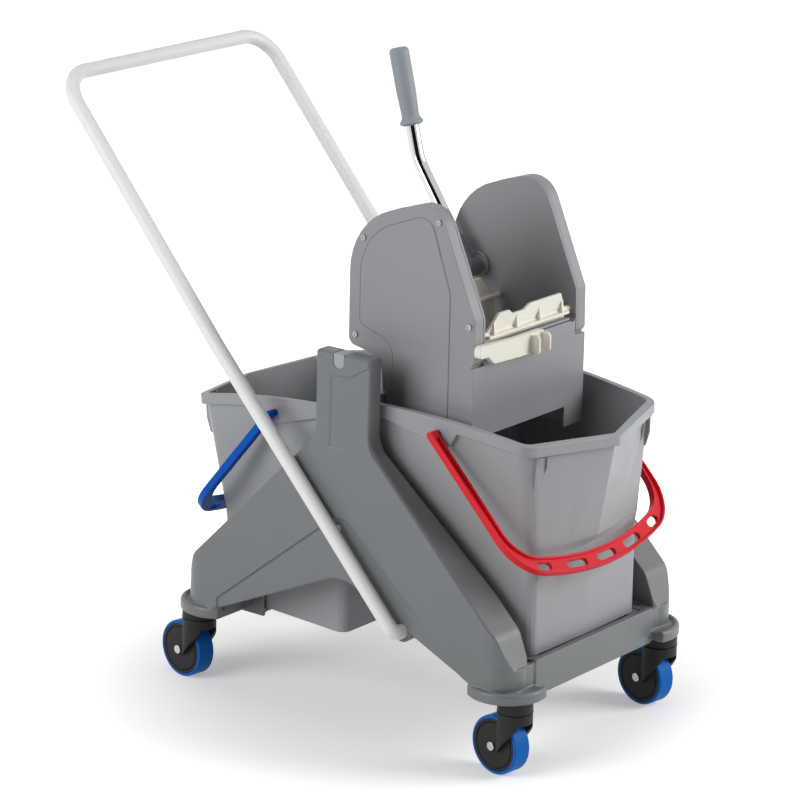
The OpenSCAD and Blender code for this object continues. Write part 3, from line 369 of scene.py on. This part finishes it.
class TROLLEY_OT_bails(bpy.types.Operator):
    """Finish the red and the blue bail"""
    bl_idname = "trolley.bails"
    bl_label = "Bails"

    def execute(self, context):
        colours, sizes = context.scene.trolley_colours, context.scene.trolley_sizes
        # Through-coloured polypropylene: strong colour under a satin skin
        red = surface("moulded polypropylene, red", colours.red_bail, 0.36, 1.5, 0.02, specular=0.2)
        blue = surface("moulded polypropylene, blue", colours.blue_bail, 0.45, 1.5, 0.02,
                       specular=0.08)
        dress(red, sizes.small_edge, "red_bail")
        dress(blue, sizes.small_edge, "blue_bail")
        return {"FINISHED"}


# Wringer

# Middle of the lever's hub, the lean of its two straight stretches in degrees, and their lengths
LEVER_HUB = Vector((-0.003, 0.076, 0.589))
LOWER_LEAN = 34
UPPER_LEAN = 14.4
LOWER_START = 0.015
LOWER_LENGTH = 0.162
UPPER_LENGTH = 0.143
LEVER_BEND = 0.06
LEVER_RADIUS = 0.0095


def leaning(degrees):
    """Direction that leans from upright towards the push handle."""
    lean = math.radians(degrees)
    return Vector((-math.sin(lean), 0.0, math.cos(lean)))


class TROLLEY_OT_wringer(bpy.types.Operator):
    """Finish the wringer's body, covers, hooks, latch, jaws and linkage"""
    bl_idname = "trolley.wringer"
    bl_label = "Wringer"

    def execute(self, context):
        colours, sizes = context.scene.trolley_colours, context.scene.trolley_sizes
        # Structural polypropylene: satin with a fine grain
        plastic = surface("moulded polypropylene, warm grey", colours.wringer, 0.44, 1.4, 0.04)
        dress(plastic, sizes.body_edge, "wringer_body", join=False)
        dress(plastic, sizes.wall_edge, "wringer_cover_near", "wringer_cover_far",
              "shaft_bush_near", "shaft_bush_far")
        # Acetal: dense ivory plastic with a waxy sheen
        acetal = surface("moulded acetal, ivory", colours.jaw, 0.35, 2.0, 0.02, cloud=0.02)
        dress(acetal, sizes.small_edge, "front_jaw", "rear_jaw")
        moulding("latch_moulding", acetal, sizes.latch_skin, "wringer", "ivory_plastic",
                 "frame_release_latch")
        # Black-coated steel plate: dark, with a dull sheen
        black = surface("black-coated steel", colours.dark_steel, 0.42, 1.2, 0.03)
        dress(black, sizes.small_edge, "rim_hook_near", "rim_hook_far", "front_jaw_arms",
              "rear_jaw_arms", "front_links", "rear_links", "shaft_crank_near", "shaft_crank_far")
        # Zinc plate on the cover screws: dull metal with a small highlight
        zinc = surface("zinc-plated screws", colours.screw, 0.3, 1.0, 0.01, metallic=1.0)
        dress(zinc, sizes.screw_edge, "cover_screws")
        return {"FINISHED"}


class TROLLEY_OT_lever(bpy.types.Operator):
    """Finish the press lever, its hub, grip and cross shaft"""
    bl_idname = "trolley.lever"
    bl_label = "Lever"

    def execute(self, context):
        colours, sizes = context.scene.trolley_colours, context.scene.trolley_sizes
        # Polished chrome plate: a mirror with crisp highlights and a dark stripe
        chrome = surface("polished chrome plate", colours.chrome, 0.07, 2.0, 0.002,
                         rough_spread=0.02, metallic=1.0)
        lower, upper = leaning(LOWER_LEAN), leaning(UPPER_LEAN)
        bend = LEVER_HUB + lower * LOWER_LENGTH
        path = rounded_path([LEVER_HUB + lower * LOWER_START, bend, bend + upper * UPPER_LENGTH],
                            [LEVER_BEND])
        tube("chrome_lever", path, LEVER_RADIUS, "lever", chrome, "chrome_tube", "lever_tube")
        # Dip-moulded grip: dull grey with a soft sheen
        rubber = surface("moulded soft plastic, blue grey", colours.grip, 0.48, 1.2, 0.04)
        dress(rubber, sizes.small_edge, "lever_grip")
        # Zinc plate on the turned shaft: pale metal with a soft sheen
        zinc = surface("zinc-plated shaft", colours.zinc, 0.32, 1.0, 0.01, metallic=1.0)
        dress(zinc, sizes.small_edge, "cross_shaft")
        # Painted casting: dull grey
        cast = surface("grey-painted casting", colours.hub, 0.45, 1.2, 0.04)
        dress(cast, sizes.small_edge, "lever_hub")
        return {"FINISHED"}


# Studio

# Camera of the photograph
EYE = Vector((2.8693, -3.7699, 1.8370))
AZIMUTH = math.radians(37.82)
ELEVATION = math.radians(16.67)
ROLL = math.radians(1.222)
LENS_MM = 165.59
SENSOR_MM = 36.0
# Place, aim and side length of each lamp in metres, and its power in watts
LAMPS = {
    "key": ((2.6, 1.7, 1.6), (0.0, 0.0, 0.4), 1.8, 80),
    "fill": ((-0.9, -3.1, 1.7), (0.0, 0.0, 0.4), 2.2, 74),
    "top": ((0.0, 0.2, 4.0), (0.0, 0.0, 0.0), 2.4, 24),
}
WORLD_LIGHT = 0.1
WHITE = shade(linear("#FFFFFF"))
# The floor looks white beyond the outer radius and keeps its shadow inside the inner one
SHADOW_INNER = 0.25
SHADOW_OUTER = 0.76
SHADOW_GLOW = 0.3
# Distance and size of the black card
CARD_AWAY = 1.7
CARD_WIDTH = 2.2
CARD_HEIGHT = 2.2


def studio_camera(scene):
    """The photograph's camera."""
    back = Vector((math.sin(AZIMUTH) * math.cos(ELEVATION),
                   -math.cos(AZIMUTH) * math.cos(ELEVATION), math.sin(ELEVATION)))
    flat = Vector((math.cos(AZIMUTH), math.sin(AZIMUTH), 0.0))
    rise = back.cross(flat)
    right = flat * math.cos(ROLL) + rise * math.sin(ROLL)
    up = rise * math.cos(ROLL) - flat * math.sin(ROLL)
    data = bpy.data.cameras.new("camera")
    data.lens = LENS_MM
    data.sensor_width = SENSOR_MM
    data.clip_end = 60.0
    camera = bpy.data.objects.new("camera", data)
    turn = Matrix((right, up, back)).transposed().to_4x4()
    camera.matrix_world = Matrix.Translation(EYE) @ turn
    scene.collection.objects.link(camera)
    scene.camera = camera


def softbox(scene, name, place, aim, side, watts):
    """A square area lamp at a place, aimed at a point."""
    data = bpy.data.lights.new(name, "AREA")
    data.shape = "SQUARE"
    data.size = side
    data.energy = watts
    lamp = bpy.data.objects.new(name, data)
    lamp.location = place
    lamp.rotation_euler = (Vector(aim) - Vector(place)).to_track_quat("-Z", "Y").to_euler()
    scene.collection.objects.link(lamp)


def sheet(scene, name, corners, material):
    """A flat studio piece with four corners."""
    mesh = bpy.data.meshes.new(name)
    mesh.from_pydata(corners, [], [(0, 1, 2, 3)])
    mesh.materials.append(material)
    piece = bpy.data.objects.new(name, mesh)
    scene.collection.objects.link(piece)
    return piece


def white_rays(tree):
    """Output that is 1 for the rays that see white surroundings: camera, glossy and transmission."""
    rays = add(tree, "ShaderNodeLightPath").outputs
    seen = add(tree, "ShaderNodeMath", {0: rays["Is Camera Ray"], 1: rays["Is Glossy Ray"]},
               operation="MAXIMUM")
    seen = add(tree, "ShaderNodeMath", {0: seen.outputs[0], 1: rays["Is Transmission Ray"]},
               operation="MAXIMUM")
    return seen.outputs[0]


def studio_floor(scene, half):
    """Matt studio paper: it looks white and keeps a soft shadow around the trolley."""
    material, tree, output = new_material("studio paper")
    where = add(tree, "ShaderNodeTexCoord").outputs["Object"]
    reach = add(tree, "ShaderNodeVectorMath", {0: where}, operation="LENGTH")
    fade = add(tree, "ShaderNodeMapRange",
               {"Value": reach.outputs["Value"], "From Min": SHADOW_INNER,
                "From Max": SHADOW_OUTER, "To Min": SHADOW_GLOW, "To Max": 1.0},
               interpolation_type="SMOOTHSTEP")
    share = add(tree, "ShaderNodeMath", {0: white_rays(tree), 1: fade.outputs["Result"]},
                operation="MULTIPLY")
    paper = add(tree, "ShaderNodeBsdfDiffuse", {"Color": shade(linear("#F3F3F3"))})
    glow = add(tree, "ShaderNodeEmission", {"Color": WHITE, "Strength": share.outputs[0]})
    both = add(tree, "ShaderNodeAddShader", {0: paper.outputs[0], 1: glow.outputs[0]})
    tree.links.new(both.outputs[0], output.inputs["Surface"])
    sheet(scene, "floor", [(-half, -half, 0), (half, -half, 0), (half, half, 0), (-half, half, 0)],
          material)


def studio_card(scene):
    """Matt black card before the trolley: reflections show it as the dark stripe on bright metal."""
    material, tree, output = new_material("black card")
    grain = add(tree, "ShaderNodeTexNoise", {"Scale": 40.0})
    tint = add(tree, "ShaderNodeMix",
               {"Factor": grain.outputs["Fac"], "A": shade(linear("#191919")),
                "B": shade(linear("#303030"))}, data_type="RGBA")
    matt = add(tree, "ShaderNodeBsdfDiffuse", {"Color": tint.outputs["Result"]})
    tree.links.new(matt.outputs[0], output.inputs["Surface"])
    middle = Vector((math.sin(AZIMUTH), -math.cos(AZIMUTH), 0.0)) * CARD_AWAY
    across = Vector((math.cos(AZIMUTH), math.sin(AZIMUTH), 0.0)) * CARD_WIDTH / 2
    rise = Vector((0.0, 0.0, CARD_HEIGHT))
    left, right = middle - across, middle + across
    card = sheet(scene, "card", [left, right, right + rise, left + rise], material)
    card.visible_camera = False
    card.visible_diffuse = False
    card.visible_shadow = False


def studio_world(scene):
    """Surroundings that look white and light the trolley only a little."""
    world = bpy.data.worlds.new("studio")
    scene.world = world
    world.use_nodes = True
    tree = world.node_tree
    tree.nodes.clear()
    lit = add(tree, "ShaderNodeBackground", {"Color": WHITE, "Strength": WORLD_LIGHT})
    seen = add(tree, "ShaderNodeBackground", {"Color": WHITE, "Strength": 1.0})
    mix = add(tree, "ShaderNodeMixShader",
              {"Fac": white_rays(tree), 1: lit.outputs[0], 2: seen.outputs[0]})
    add(tree, "ShaderNodeOutputWorld", {"Surface": mix.outputs[0]})


class TROLLEY_OT_stage(bpy.types.Operator):
    """Build the floor, the card, the white surroundings, the lamps and the camera"""
    bl_idname = "trolley.stage"
    bl_label = "Studio"

    def execute(self, context):
        scene = context.scene
        studio_floor(scene, scene.trolley_sizes.floor / 2)
        studio_card(scene)
        studio_world(scene)
        for name, (place, aim, side, watts) in LAMPS.items():
            softbox(scene, name, place, aim, side, watts)
        scene.view_settings.view_transform = "Standard"
        studio_camera(scene)
        return {"FINISHED"}


class TROLLEY_PT_panel(bpy.types.Panel):
    """The trolley's pieces and settings"""
    bl_idname = "TROLLEY_PT_panel"
    bl_label = "Trolley"
    bl_space_type = "VIEW_3D"
    bl_region_type = "UI"
    bl_category = "Trolley"

    def draw(self, context):
        for operator in OPERATORS:
            self.layout.operator(operator.bl_idname)
        for group in (context.scene.trolley_colours, context.scene.trolley_sizes):
            for key in group.bl_rna.properties.keys():
                if key not in {"rna_type", "name"}:
                    self.layout.prop(group, key)


OPERATORS = (TROLLEY_OT_chassis, TROLLEY_OT_handle, TROLLEY_OT_casters, TROLLEY_OT_buckets,
             TROLLEY_OT_bails, TROLLEY_OT_wringer, TROLLEY_OT_lever, TROLLEY_OT_stage)
CLASSES = (TrolleyColours, TrolleySizes) + OPERATORS + (TROLLEY_PT_panel,)


def register():
    """Registers the classes and the scene's settings."""
    for cls in CLASSES:
        bpy.utils.register_class(cls)
    bpy.types.Scene.trolley_colours = bpy.props.PointerProperty(type=TrolleyColours)
    bpy.types.Scene.trolley_sizes = bpy.props.PointerProperty(type=TrolleySizes)


def unregister():
    """Removes the settings and the classes."""
    del bpy.types.Scene.trolley_sizes
    del bpy.types.Scene.trolley_colours
    for cls in reversed(CLASSES):
        bpy.utils.unregister_class(cls)


def main():
    """Makes every piece and the studio."""
    register()
    for operator in OPERATORS:
        group, name = operator.bl_idname.split(".")
        getattr(getattr(bpy.ops, group), name)()
    bpy.context.view_layer.update()


if __name__ == "__main__":
    main()
